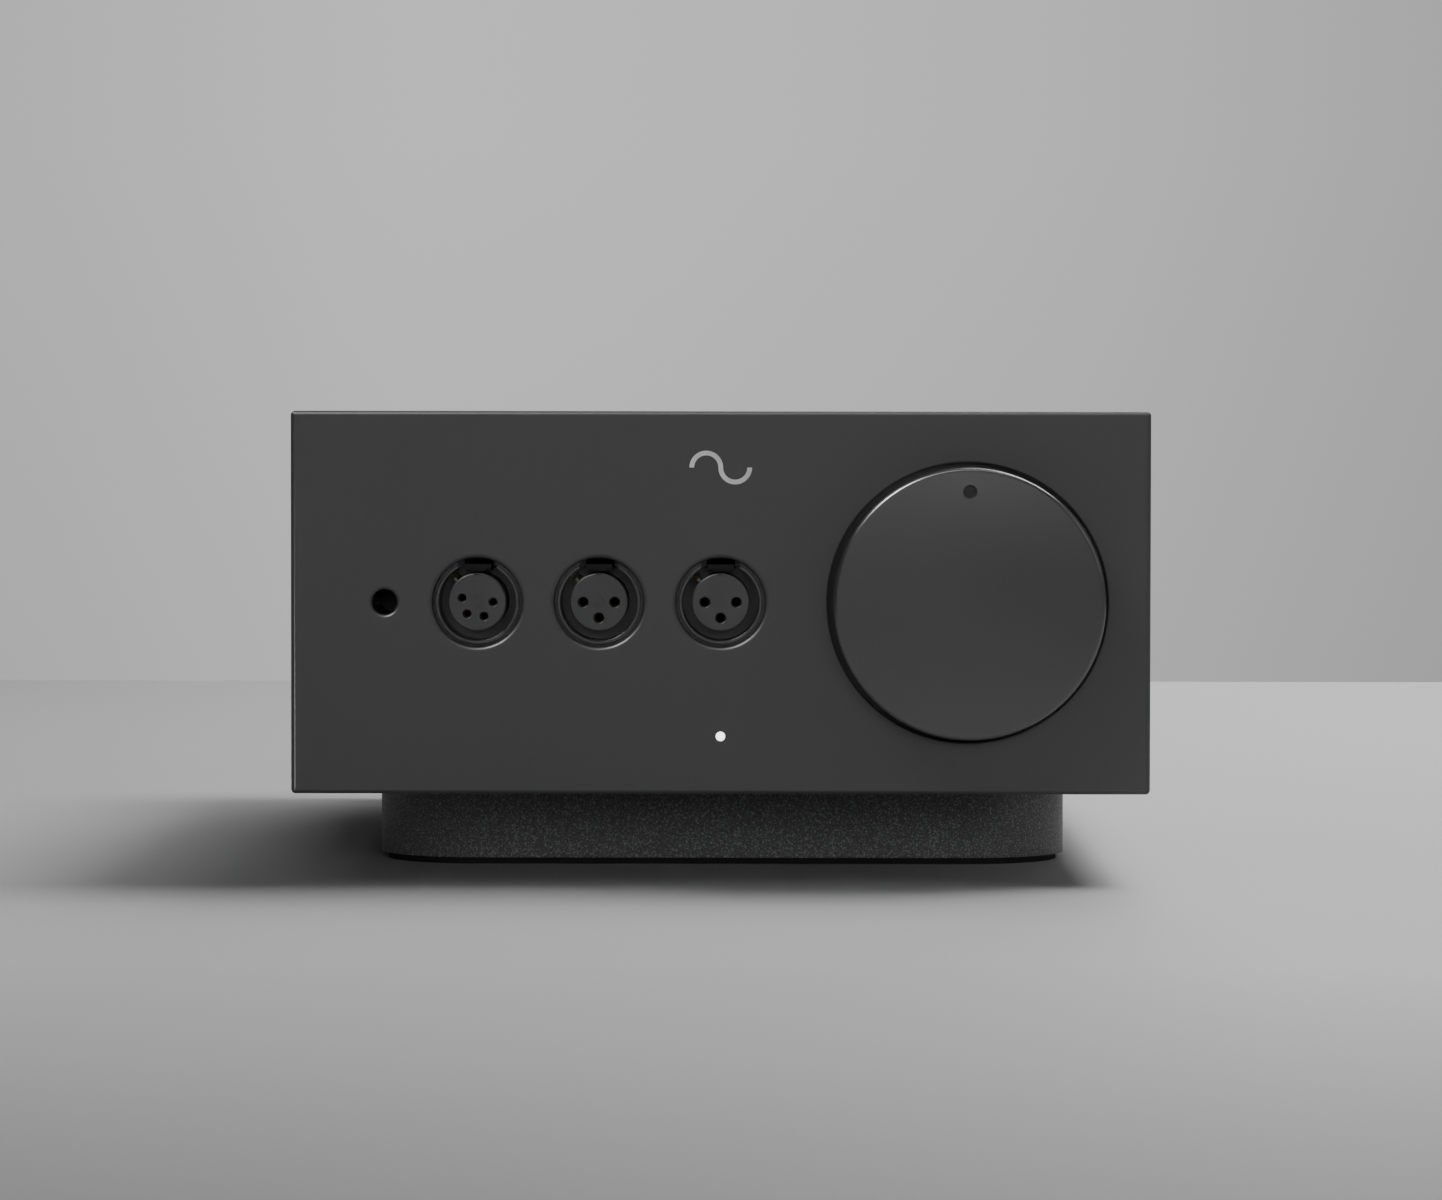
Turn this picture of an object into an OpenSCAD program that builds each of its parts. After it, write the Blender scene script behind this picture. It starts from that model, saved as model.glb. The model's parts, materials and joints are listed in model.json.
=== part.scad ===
// Half-width desktop DAC with a headphone amplifier: a black case that floats on a
// set-back plinth, with a large recessed volume knob, one 6.35 mm jack and three
// balanced headphone sockets in front, and its connectors at the rear.
// Origin: the middle of the footprint, on the surface it stands on. The front faces -Y.

/* [Case] */
// Width of the front panel, the widest part
case_w = 220; // [218:1:226]
// Height of the front panel
case_h = 98; // [97:1:104]
// Length from the front panel's face to the cover's rear edge
case_l = 334; // [330:1:342]
// Thickness of the cover, the base and the rear panel
wall = 3; // [2.5:0.5:3]
// Step from the front panel's edge in to the cover
seam = 0.4; // [0.2:0.1:0.6]
// Radius of the case's long edges
edge_r = 1.3; // [0.8:0.1:1.4]

/* [Front panel] */
// Thickness of the front panel
panel_t = 10; // [10:0.5:11]
// Radius of the front panel's front edges
panel_round = 1.1; // [0.6:0.1:1.2]
// Metal left in front of the socket flanges
socket_web = 4; // [4:0.5:4.5]
// Height of the socket row and the knob above the case's underside
row_rise = 49.1; // [48:0.1:50]
// Height of the status light above the case's underside
light_rise = 14.8; // [14:0.1:16]
// Diameter of the status light
light_d = 2.3; // [2:0.1:3]
// Height of the emblem above the case's underside
emblem_rise = 83.6; // [80:0.1:84]
// Radius of each half wave of the emblem
emblem_r = 3.7; // [3:0.1:4]
// Width of the emblem's line
emblem_line = 1.2; // [1:0.1:1.5]

/* [Volume knob] */
// Diameter of the knob
knob_d = 69.2; // [66:0.1:70]
// Gap between the knob and its pocket
knob_gap = 1.2; // [1:0.1:1.5]
// How far the knob stands proud of the panel
knob_proud = 14; // [12:0.5:15]
// Depth of the knob's pocket
pocket_t = 5; // [5:0.5:5.5]
// Radius of the knob's front edge
knob_round = 1.2; // [0.5:0.1:1.5]
// Radius of the knob's slightly domed face
crown_r = 800; // [600:50:1500]
// Distance of the knob's axis from the middle of the case
knob_x = 63.2; // [62:0.1:65]
// Diameter of the position mark
dimple_d = 3.2; // [2.5:0.1:4]
// Distance of the position mark from the knob's axis
dimple_reach = 28.5; // [26:0.1:30]

/* [Front sockets] */
// Distance between neighbouring balanced sockets
socket_pitch = 31.15; // [30.5:0.05:31.5]
// Distance of the jack from the middle of the case
jack_x = 86; // [84:0.1:88]
// Diameter of the jack's bore
jack_bore_d = 6.5; // [6.45:0.05:6.6]
// Diameter of each balanced socket's opening in the panel
opening_d = 22.9; // [22.6:0.1:23.2]
// Radius of the rounded edge of each socket's opening
opening_round = 1.1; // [0.6:0.1:1.2]
// Radius of the rounded edge of the jack's opening
jack_round = 0.9; // [0.4:0.1:1]

/* [Plinth] */
// Width of the plinth
plinth_w = 187; // [180:1:190]
// Length of the plinth
plinth_l = 240; // [220:1:244]
// Distance from the panel's face back to the plinth
plinth_setback = 68.4; // [66:0.2:72]
// Radius of the plinth's corners
plinth_r = 27.6; // [24:0.2:30]
// Height of the case's underside above the surface
lift = 23.5; // [22:0.5:26]
// Thickness of the rubber foot
foot_t = 1.8; // [1.5:0.1:3]
// How far the foot is set in from the plinth's wall
foot_inset = 2; // [1:0.5:4]

/* [Rear] */
// How far the phono sockets stand past the cover's rear edge
phono_proud = 8; // [7:0.5:9]
// Distance of the mains inlet from the middle of the case
inlet_x = 78; // [74:1:80]

/* [Hidden] */

$fn = 48;
cut = 1;                 // how far a cutting shape runs past the face that it cuts
fit = 0.05;              // radial clearance of a running fit

// Lengthwise stations, front to back
total_l = knob_proud + case_l + phono_proud;
y_face = -total_l / 2 + knob_proud;
y_panel_back = y_face + panel_t;
y_cover_end = y_face + case_l;
y_rear = y_cover_end - 2;
y_rear_in = y_rear - wall;

// Heights
z_case = lift;
z_top = z_case + case_h;
z_base = z_case + seam;
z_floor = z_base + wall;
z_roof = z_top - seam - wall;
z_row = z_case + row_rise;
z_light = z_case + light_rise;
z_emblem = z_case + emblem_rise;

// Cover
cover_w = case_w - 2 * seam;
inner_w = cover_w - 2 * wall;
sheet_gap = 0.2;
lip_w = 9;
flange_h = 10;
flange_t = 2;

// Knob and its control
pocket_r = knob_d / 2 + knob_gap;
knob_floor_gap = 0.8;
y_knob_face = y_face - knob_proud;
y_knob_back = y_face + pocket_t - knob_floor_gap;
shaft_r = 3;
bushing_r = 4.5;
set_screw_r = 2;
y_set_screw = y_face - 6;
crown_flat_r = 3;
shaft_flat = 2.5;

// Balanced sockets, measured from the panel's face inwards
xlr_x = [-2 * socket_pitch, -socket_pitch, 0];
xlr_flange = [26, 31];
xlr_screw = [9.5, 12];
lip_in = 0.8;
ring_r = 10.7;
channel_r = 9.9;
insert_r = 7.4;
body_r = 11.5;
flange_thick = 1.6;
xlr_depth = 22;
channel_depth = 18;
pin_circle = 4.03;
angles3 = [180, 0, 270];
angles4 = [165, 229, 295, 0];
earth_angle = 134;
latch_w = 6.6;
latch_slot_w = 7.4;
neck_gap_w = 10;
neck_gap_depth = 12;
latch_in = 6;
contact_in = 4.8;
latch_pivot = [15.5, 9.2];     // inwards from the panel's face, and up from the socket's axis
board_in = 32;                 // the headphone board's face, inwards from the panel's face

// Screws
screw_r = 1.45;
screw_hole_r = 1.5;
panel_screw_low = [-80, -34, 34, 80];
panel_screw_high = [-80, 0, 80];
z_screw_low = z_base + 7;
z_screw_high = z_roof - 5;
rear_screw_x = [-98, 0, 98];
cover_screw_y = [-120, -40, 40, 135];
cover_screw_x = inner_w / 2 - 5;
plinth_screw = [70, 92];

// Plinth
y_plinth = y_face + plinth_setback + plinth_l / 2;
plinth_wall = 4;

// Boards
board_t = 1.6;
z_board = 36.5;
z_parts = z_board + board_t;
main_board = [98, 268];
main_board_at = [-51, 24];
power_board = [94, 124];
power_board_at = [55, 68];
main_holes = [for (x = [-92, -10], y = [-104, 24, 128]) [x, y]];
power_holes = [for (x = [13, 92], y = [11, 125]) [x, y]];

// Transformer
coil_at = [52, -70];
coil_r = 46;
coil_hole_r = 15;
coil_h = 46;
pad_t = 2;
bolt_r = 4;

// Rear connectors
z_upper = z_case + 60.5;
out_x = [-86, -55];
phono_r = 4.15;
phono_upper_x = [-27, -7];
phono_lower = [-34, 46];
usb_x = -86;
optical_x = -60;
optical_z = 43.4;
inlet_z = z_case + 47.5;
inlet_flange = [31, 66];
inlet_body = [27.6, 58];
inlet_cup_z = inlet_z - 19;
drawer_z = inlet_z - 3;
rocker_z = inlet_z + 16;
y_inlet_face = y_rear + 2.2;
rocker_tilt = 8;
y_rocker = y_rear - 4;

black = [0.13, 0.13, 0.135];
dark_plastic = [0.08, 0.08, 0.085];
steel = [0.7, 0.7, 0.72];
gold = [0.85, 0.65, 0.3];
board_green = [0.05, 0.25, 0.14];

// ---------- shared shapes ----------

// Rectangle with rounded corners, centred
module rounded(w, h, r) {
  square([w - 2 * r, h], center = true);
  square([w, h - 2 * r], center = true);
  for (sx = [-1, 1], sy = [-1, 1])
    translate([sx * (w / 2 - r), sy * (h / 2 - r)]) circle(r);
}

// Rectangle from x = 0 to d whose two corners at x = 0 are rounded
module front_rounded(d, h, r) {
  translate([r, -h / 2]) square([d - r, h]);
  translate([0, r - h / 2]) square([d, h - 2 * r]);
  for (s = [-1, 1]) translate([r, s * (h / 2 - r)]) circle(r);
}

// Extrudes an outline drawn in the front view from y0 to y1
module along_y(y0, y1) {
  translate([0, y1, 0]) rotate([90, 0, 0]) linear_extrude(y1 - y0) children();
}

// Round bar along Y
module rod_y(x, z, y0, y1, r) {
  translate([x, y0, z]) rotate([-90, 0, 0]) cylinder(h = y1 - y0, r = r);
}

// Cone along Y from radius r0 at y0 to r1 at y1
module cone_y(x, z, y0, y1, r0, r1) {
  translate([x, y0, z]) rotate([-90, 0, 0]) cylinder(h = y1 - y0, r1 = r0, r2 = r1);
}

// Round bar along X, centred on x
module rod_x(x, y, z, l, r) {
  translate([x - l / 2, y, z]) rotate([0, 90, 0]) cylinder(h = l, r = r);
}

// Round bar along Z
module post(x, y, z0, z1, r) {
  translate([x, y, z0]) cylinder(h = z1 - z0, r = r);
}

// Box given by two opposite corners
module block(a, b) {
  translate(a) cube(b - a);
}

// Bevel that widens a round opening at the face y
module bevel_in(x, z, y, r, c) {
  cone_y(x, z, y - cut, y + c, r + c + cut, r);
}

// Rounds the rim of a hole of radius r whose mouth is at y, with a fillet of radius c
module round_in(x, z, y, r, c) {
  translate([x, y, z]) rotate([-90, 0, 0]) rotate_extrude() difference() {
    translate([r - 0.5, -cut]) square([c + 0.5, c + cut]);
    translate([r + c, c]) circle(c);
  }
}

// Button-head screw along Y: its head's seat is at y, and its shank runs to y + l
module screw_y(x, z, y, l, head_r = 2.7, head_t = 1.6) {
  d = sign(l);
  difference() {
    union() {
      rod_y(x, z, min(y, y + l), max(y, y + l), screw_r);
      rod_y(x, z, min(y, y - d * head_t), max(y, y - d * head_t), head_r);
    }
    translate([x, y - d * head_t, z]) rotate([90, 0, 0])
      cylinder(h = 1.6, r = 1.1, $fn = 6, center = true);
  }
}

// Tube swept along a list of points
function unit(v) = v / norm(v);
function heading(p, i) = unit(
  i == 0 ? p[1] - p[0] :
  i == len(p) - 1 ? p[i] - p[i - 1] :
  unit(p[i + 1] - p[i]) + unit(p[i] - p[i - 1]));
function side_of(t) = unit(cross(t, abs(t[2]) > 0.9 ? [1, 0, 0] : [0, 0, 1]));
function tube_ring(c, t, r, n) = [
  for (k = [0:n - 1]) c + r * (cos(360 * k / n) * side_of(t) + sin(360 * k / n) * cross(t, side_of(t)))
];
module tube(p, r, n = 10) {
  rings = [for (i = [0:len(p) - 1]) each tube_ring(p[i], heading(p, i), r, n)];
  last = (len(p) - 1) * n;
  sides = [for (i = [0:len(p) - 2], k = [0:n - 1])
    let (a = i * n + k, b = i * n + (k + 1) % n) each [[a, b, b + n], [a, b + n, a + n]]];
  ends = [[for (k = [n - 1:-1:0]) k], [for (k = [0:n - 1]) last + k]];
  polyhedron(rings, concat(sides, ends), convexity = 4);
}

// ---------- case ----------

// Emblem: two half rings that join into one wave
module wave(line) {
  for (s = [-1, 1])
    translate([s * emblem_r, 0])
      intersection() {
        difference() {
          circle(emblem_r + line / 2);
          circle(emblem_r - line / 2);
        }
        translate([-2 * emblem_r, s > 0 ? -2 * emblem_r : 0]) square([4 * emblem_r, 2 * emblem_r]);
      }
}

module panel_blank() {
  intersection() {
    translate([0, 0, z_case + case_h / 2]) along_y(y_face, y_panel_back) rounded(case_w, case_h, edge_r);
    translate([0, y_face, z_case - cut]) linear_extrude(case_h + 2 * cut)
      rotate(90) front_rounded(panel_t, case_w, panel_round);
    translate([-case_w / 2 - cut, y_face, z_case + case_h / 2]) rotate([90, 0, 90])
      linear_extrude(case_w + 2 * cut) front_rounded(panel_t, case_h, panel_round);
  }
}

module front_panel() {
  opening_r = opening_d / 2;
  jack_hole_r = jack_bore_d / 2;
  color(black) difference() {
    panel_blank();
    rod_y(knob_x, z_row, y_face - cut, y_face + pocket_t, pocket_r);
    bevel_in(knob_x, z_row, y_face, pocket_r, 0.4);
    rod_y(knob_x, z_row, y_face, y_panel_back + cut, bushing_r + fit);
    for (x = xlr_x) {
      rod_y(x, z_row, y_face - cut, y_panel_back, opening_r);
      round_in(x, z_row, y_face, opening_r, opening_round);
      translate([x, 0, z_row]) along_y(y_face + socket_web, y_panel_back + cut)
        rounded(xlr_flange[0] + 1, xlr_flange[1] + 1, 2);
      for (s = [-1, 1])
        rod_y(x + s * xlr_screw[0], z_row + s * xlr_screw[1], y_face + 1, y_panel_back, screw_hole_r);
    }
    rod_y(-jack_x, z_row, y_face - cut, y_panel_back, jack_hole_r);
    round_in(-jack_x, z_row, y_face, jack_hole_r, jack_round);
    rod_y(-jack_x, z_row, y_face + 2.5, y_panel_back + cut, 5.6);
    rod_y(0, z_light, y_face - cut, y_panel_back + cut, light_d / 2 + fit);
    translate([0, 0, z_emblem]) along_y(y_face - cut, y_face + 0.4) wave(emblem_line + 2 * fit);
    for (x = panel_screw_low) rod_y(x, z_screw_low, y_panel_back - 7, y_panel_back + cut, screw_hole_r);
    for (x = panel_screw_high) rod_y(x, z_screw_high, y_panel_back - 7, y_panel_back + cut, screw_hole_r);
  }
}

module top_cover() {
  cover_h = z_top - seam - z_base;
  color(black) difference() {
    union() {
      difference() {
        translate([0, 0, z_base + cover_h / 2]) along_y(y_panel_back, y_cover_end)
          union() {
            rounded(cover_w, cover_h, edge_r);
            translate([-cover_w / 2, -cover_h / 2]) square([cover_w, cover_h / 2]);
          }
        block([-inner_w / 2, y_panel_back - cut, z_base - cut], [inner_w / 2, y_cover_end + cut, z_roof]);
      }
      for (s = [-1, 1])
        translate([s * (inner_w - lip_w) / 2, (y_panel_back + y_rear_in) / 2, z_floor + 1.5])
          cube([lip_w, y_rear_in - y_panel_back - 20, 3], center = true);
      block([-inner_w / 2, y_panel_back, z_roof - flange_h], [inner_w / 2, y_panel_back + flange_t, z_roof]);
      block([-inner_w / 2, y_rear_in - flange_t, z_roof - flange_h], [inner_w / 2, y_rear_in, z_roof]);
    }
    for (x = panel_screw_high)
      rod_y(x, z_screw_high, y_panel_back - cut, y_panel_back + flange_t + cut, screw_hole_r);
    for (x = rear_screw_x)
      rod_y(x, z_screw_high, y_rear_in - flange_t - cut, y_rear_in + cut, screw_hole_r);
    for (s = [-1, 1], y = cover_screw_y)
      post(s * cover_screw_x, y, z_floor - cut, z_floor + 3 + cut, screw_hole_r);
  }
}

// Row of ventilation slots, n of them, in the base
module base_slots(y, n, l) {
  for (i = [0:n - 1])
    translate([(i - (n - 1) / 2) * 8, y, z_base - cut]) linear_extrude(wall + 2 * cut) rounded(3, l, 1.45);
}

module base_plate() {
  base_w = inner_w - 2 * sheet_gap;
  upstand_h = 12;
  color(black) difference() {
    union() {
      block([-base_w / 2, y_panel_back, z_base], [base_w / 2, y_rear_in, z_floor]);
      block([-90, y_panel_back, z_base], [90, y_panel_back + flange_t, z_base + upstand_h]);
      block([-94, y_rear_in - flange_t, z_base], [94, y_rear_in, z_base + upstand_h]);
      for (s = [-1, 1])
        block([s * 98 - 5, y_rear_in - flange_t, z_base], [s * 98 + 5, y_rear_in, z_base + upstand_h]);
    }
    for (x = panel_screw_low)
      rod_y(x, z_screw_low, y_panel_back - cut, y_panel_back + flange_t + cut, screw_hole_r);
    for (x = rear_screw_x)
      rod_y(x, z_screw_low, y_rear_in - flange_t - cut, y_rear_in + cut, screw_hole_r);
    for (s = [-1, 1], y = cover_screw_y) {
      post(s * cover_screw_x, y, z_base, z_floor + cut, screw_hole_r);
      translate([s * cover_screw_x, y, z_base - 0.01]) cylinder(h = 1.6, r1 = 3.05, r2 = screw_hole_r);
    }
    for (sx = [-1, 1], sy = [-1, 1])
      post(sx * plinth_screw[0], y_plinth + sy * plinth_screw[1], z_base - cut, z_floor + cut, screw_hole_r);
    translate([coil_at[0], coil_at[1], z_base - 0.01])
      cylinder(h = wall + 0.02, r1 = 7.15, r2 = bolt_r + 0.15);
    base_slots(y_face + 42, 18, 34);
  }
}

module rear_panel() {
  panel_w = inner_w - 2 * sheet_gap;
  panel_h = z_roof - z_base - 2 * sheet_gap;
  color(black) difference() {
    block([-panel_w / 2, y_rear_in, z_base + sheet_gap], [panel_w / 2, y_rear, z_base + sheet_gap + panel_h]);
    for (x = rear_screw_x, z = [z_screw_low, z_screw_high])
      rod_y(x, z, y_rear_in - cut, y_rear + cut, screw_hole_r);
    for (x = out_x) {
      rod_y(x, z_upper, y_rear_in - cut, y_rear + cut, 12);
      for (s = [-1, 1])
        rod_y(x + s * xlr_screw[0], z_upper + s * xlr_screw[1], y_rear_in - cut, y_rear + cut, screw_hole_r);
    }
    for (x = phono_upper_x) rod_y(x, z_upper, y_rear_in - cut, y_rear + cut, phono_r + 0.1);
    rod_y(phono_lower[0], phono_lower[1], y_rear_in - cut, y_rear + cut, phono_r + 0.1);
    block([usb_x - 6.3, y_rear_in - cut, z_parts - 0.3], [usb_x + 6.3, y_rear + cut, z_parts + 11.3]);
    block([optical_x - 5.3, y_rear_in - cut, z_parts - 0.3], [optical_x + 5.3, y_rear + cut, z_parts + 10.9]);
    translate([inlet_x, 0, inlet_z]) along_y(y_rear_in - cut, y_rear + cut)
      rounded(inlet_body[0] + 0.4, inlet_body[1] + 0.4, 2);
    for (s = [-1, 1])
      rod_y(inlet_x, inlet_z + s * 31, y_rear_in - cut, y_rear + cut, screw_hole_r);
    for (i = [0:15])
      translate([-96 + i * 9, 0, z_upper + 20]) along_y(y_rear_in - cut, y_rear + cut) rounded(3, 6, 1.45);
  }
}

module plinth() {
  color([0.12, 0.12, 0.125]) difference() {
    translate([0, y_plinth, foot_t]) linear_extrude(z_base - foot_t) rounded(plinth_w, plinth_l, plinth_r);
    translate([0, y_plinth, foot_t - cut]) linear_extrude(z_base - foot_t - plinth_wall + cut)
      rounded(plinth_w - 2 * plinth_wall, plinth_l - 2 * plinth_wall, plinth_r - plinth_wall);
    for (sx = [-1, 1], sy = [-1, 1])
      post(sx * plinth_screw[0], y_plinth + sy * plinth_screw[1], foot_t, z_base + cut, screw_hole_r);
  }
}

module foot_pad() {
  color([0.03, 0.03, 0.03]) translate([0, y_plinth, 0]) linear_extrude(foot_t)
    rounded(plinth_w - 2 * foot_inset, plinth_l - 2 * foot_inset, plinth_r - foot_inset);
}

module front_emblem() {
  color(steel) translate([0, 0, z_emblem]) along_y(y_face - 0.05, y_face + 0.4) wave(emblem_line);
}

module status_lens() {
  color("white") rod_y(0, z_light, y_face - 0.1, y_face + board_in - 2.2, light_d / 2);
}

module case_screws() {
  color(dark_plastic) {
    for (x = panel_screw_low) screw_y(x, z_screw_low, y_panel_back + flange_t, -8);
    for (x = panel_screw_high) screw_y(x, z_screw_high, y_panel_back + flange_t, -8);
    for (x = rear_screw_x, z = [z_screw_low, z_screw_high]) screw_y(x, z, y_rear, -9);
  }
}

module cover_screws() {
  color(dark_plastic) for (s = [-1, 1], y = cover_screw_y) difference() {
    union() {
      post(s * cover_screw_x, y, z_base, z_floor + 4, screw_r);
      translate([s * cover_screw_x, y, z_base]) cylinder(h = 1.5, r1 = 2.95, r2 = screw_r);
    }
    translate([s * cover_screw_x, y, z_base - cut]) cylinder(h = cut + 1, r = 1.1, $fn = 6);
  }
}

module plinth_screws() {
  color(steel) for (sx = [-1, 1], sy = [-1, 1])
    translate([sx * plinth_screw[0], y_plinth + sy * plinth_screw[1], 0]) {
      post(0, 0, z_base - plinth_wall, z_floor - 0.3, screw_r);
      post(0, 0, z_base - plinth_wall - 2, z_base - plinth_wall, 3);
    }
}

// ---------- volume control ----------

module volume_knob() {
  knob_r = knob_d / 2;
  knob_l = y_knob_back - y_knob_face;
  edge_x = knob_r - knob_round;
  crown_y = knob_l - sqrt(crown_r * crown_r - crown_flat_r * crown_flat_r);
  edge_y = crown_y + sqrt(pow(crown_r - knob_round, 2) - edge_x * edge_x);
  face_reach = edge_x * crown_r / (crown_r - knob_round);
  dimple_drop = knob_l - crown_y - sqrt(crown_r * crown_r - dimple_reach * dimple_reach);
  color(black) difference() {
    translate([knob_x, y_knob_back, z_row]) rotate([90, 0, 0]) rotate_extrude($fn = 96) {
      square([knob_r, edge_y]);
      translate([edge_x, edge_y]) circle(knob_round);
      intersection() {
        translate([0, crown_y]) circle(crown_r, $fn = 2000);
        square([face_reach, knob_l]);
      }
    }
    rod_y(knob_x, z_row, y_knob_back - 5.5, y_knob_back + cut, 12);
    rod_y(knob_x, z_row, y_knob_face + 3, y_knob_back, shaft_r + fit / 2);
    translate([knob_x, 0, z_row + dimple_reach]) {
      rod_y(0, 0, y_knob_face - cut, y_knob_face + dimple_drop + 1.6, dimple_d / 2);
      bevel_in(0, 0, y_knob_face + dimple_drop, dimple_d / 2, 0.25);
    }
    post(knob_x, y_set_screw, z_row - knob_r - cut, z_row, set_screw_r);
  }
}

module knob_set_screw() {
  color(steel) difference() {
    post(knob_x, y_set_screw, z_row - 12, z_row - shaft_flat - fit, set_screw_r - fit);
    translate([knob_x, y_set_screw, z_row - 12 - cut]) cylinder(h = cut + 2.5, r = 1.15, $fn = 6);
  }
}

module control_shaft() {
  y_end = y_knob_face + 3.5;
  color(steel) difference() {
    rod_y(knob_x, z_row, y_end, y_panel_back + 12, shaft_r);
    block([knob_x - 4, y_end - cut, z_row - 4], [knob_x + 4, y_face - 1, z_row - shaft_flat]);
  }
}

module volume_control() {
  color(steel) difference() {
    union() {
      rod_y(knob_x, z_row, y_face + 2, y_panel_back + cut, bushing_r);
      translate([knob_x, 0, z_row]) along_y(y_panel_back, y_panel_back + 13) rounded(26, 26, 3);
      rod_y(knob_x, z_row, y_panel_back + 13, y_panel_back + 20, 11);
      for (i = [-1, 0, 1])
        block([knob_x + i * 5 - 0.6, y_panel_back + 9, z_row - 19],
              [knob_x + i * 5 + 0.6, y_panel_back + 10, z_row - 12]);
    }
    rod_y(knob_x, z_row, y_face, y_panel_back + 13, shaft_r + fit);
  }
}

module control_nut() {
  color(steel) difference() {
    translate([knob_x, y_face + pocket_t - 2, z_row]) rotate([-90, 0, 0]) cylinder(h = 2, r = 7, $fn = 6);
    rod_y(knob_x, z_row, y_face, y_panel_back, bushing_r + fit);
  }
}

// ---------- headphone jack ----------

module jack_body() {
  bore_r = jack_bore_d / 2;
  color(dark_plastic) difference() {
    union() {
      rod_y(-jack_x, z_row, y_face + 2.6, y_panel_back + cut, 5.5);
      translate([-jack_x, 0, z_row]) along_y(y_panel_back, y_face + board_in - 0.2) rounded(16, 17, 1.5);
    }
    rod_y(-jack_x, z_row, y_face, y_face + board_in - 1.8, bore_r);
    block([-jack_x - 5, y_face + 10.5, z_row - 1.3], [-jack_x, y_face + 26, z_row + 1.3]);
    block([-jack_x, y_face + 18, z_row - 1.3], [-jack_x + 5, y_face + 28, z_row + 1.3]);
  }
}

// Contact leaf beside the jack's bore, with a sloping front end; side is -1 at the left
module sprung_contact(x, y0, y1, side) {
  translate([x, 0, z_row - 1.1]) linear_extrude(2.2)
    polygon([[side * 4.6, y0], [side * 3.4, y0 + 1.4], [side * 3.4, y1], [side * 4.6, y1]]);
}

module jack_contacts() {
  color(gold) {
    sprung_contact(-jack_x, y_face + 11, y_face + 25.5, -1);
    sprung_contact(-jack_x, y_face + 18.5, y_face + 27.5, 1);
  }
}

// ---------- balanced sockets ----------
// Each is drawn round its own axis, with y counted inwards from the panel's face

module xlr_shell() {
  flange_y = socket_web;
  color(black) {
    difference() {
      union() {
        rod_y(0, 0, lip_in + 0.2, flange_y + cut, ring_r);
        cone_y(0, 0, lip_in, lip_in + 0.2, ring_r - 0.2, ring_r);
        along_y(flange_y, flange_y + flange_thick) rounded(xlr_flange[0], xlr_flange[1], 1.8);
        rod_y(0, 0, flange_y, xlr_depth, body_r);
      }
      rod_y(0, 0, 0, channel_depth, channel_r);
      rod_y(0, 0, 0, xlr_depth + cut, insert_r + fit);
      cone_y(0, 0, lip_in - cut, lip_in + 0.2, channel_r + 0.2 + cut, channel_r);
      block([-neck_gap_w / 2, 0, insert_r], [neck_gap_w / 2, neck_gap_depth, 12.5]);
      block([-latch_slot_w / 2, 0, insert_r], [latch_slot_w / 2, channel_depth, 12.5]);
      for (s = [-1, 1])
        rod_y(s * xlr_screw[0], s * xlr_screw[1],
              flange_y - cut, flange_y + flange_thick + cut, screw_hole_r);
      rotate([0, 45, 0]) block([0, 0, -0.5], [11, 2, 0.5]);
    }
    rod_x(0, latch_pivot[0], latch_pivot[1], latch_slot_w + 0.6, 0.6);
  }
}

module xlr_insert(angles) {
  face = lip_in + 0.4;
  hole_r = len(angles) > 3 ? 1.05 : 1.3;
  color(dark_plastic) difference() {
    union() {
      rod_y(0, 0, face + 0.3, xlr_depth, insert_r);
      cone_y(0, 0, face, face + 0.3, insert_r - 0.3, insert_r);
      rotate([0, -earth_angle, 0]) block([insert_r - 0.5, face + 0.1, -0.4], [8.5, latch_in - 0.5, 0.4]);
    }
    for (a = angles)
      rod_y(pin_circle * cos(a), pin_circle * sin(a), 0, xlr_depth + cut, hole_r);
    for (a = angles)
      bevel_in(pin_circle * cos(a), pin_circle * sin(a), face, hole_r, 0.2);
    difference() {
      rod_y(0, 0, 0, face + 0.2, 1.5);
      rod_y(0, 0, 0, face + 0.2, 1.15);
    }
    rotate([0, -90, 0]) block([insert_r - 0.6, 0, -0.8], [insert_r + 1, 3, 0.8]);
  }
}

module xlr_contacts(angles) {
  hole_r = len(angles) > 3 ? 1.05 : 1.3;
  color(gold) {
    for (a = angles)
      translate([pin_circle * cos(a), 0, pin_circle * sin(a)]) {
        difference() {
          rod_y(0, 0, contact_in, xlr_depth, hole_r - fit);
          rod_y(0, 0, 0, channel_depth, hole_r - 0.3);
        }
        rod_y(0, 0, xlr_depth, board_in, 0.5);
      }
    rotate([0, -earth_angle, 0]) block([8, latch_in, -0.9], [9.3, channel_depth, 0.9]);
  }
}

module xlr_latch() {
  color(dark_plastic) difference() {
    union() {
      block([-latch_w / 2, latch_in, 8.2], [latch_w / 2, latch_pivot[0], 9.6]);
      block([-1.8, latch_in, 7.8], [1.8, latch_in + 3, 8.6]);
      rod_x(0, latch_pivot[0], latch_pivot[1], latch_w, 1.3);
    }
    rod_x(0, latch_pivot[0], latch_pivot[1], latch_w + 2 * cut, 0.6 + fit);
  }
}

// Puts a socket's piece at its place in the row
module in_row(i) {
  translate([xlr_x[i], y_face, z_row]) children();
}

module front_socket_screws() {
  color(steel) for (x = xlr_x, s = [-1, 1])
    screw_y(x + s * xlr_screw[0], z_row + s * xlr_screw[1],
            y_face + socket_web + flange_thick, -4, head_r = 2.3, head_t = 1.4);
}

module headphone_board() {
  y_board = y_face + board_in;
  color(board_green) {
    block([-97, y_board, 31], [21, y_board + board_t, 93]);
    block([-1.6, y_board - 2, z_light - 1.6], [1.6, y_board, z_light + 1.6]);
    for (i = [0:2])
      block([-68 + i * 26, y_board + board_t, 68], [-50 + i * 26, y_board + board_t + 10, 84]);
  }
}

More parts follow.
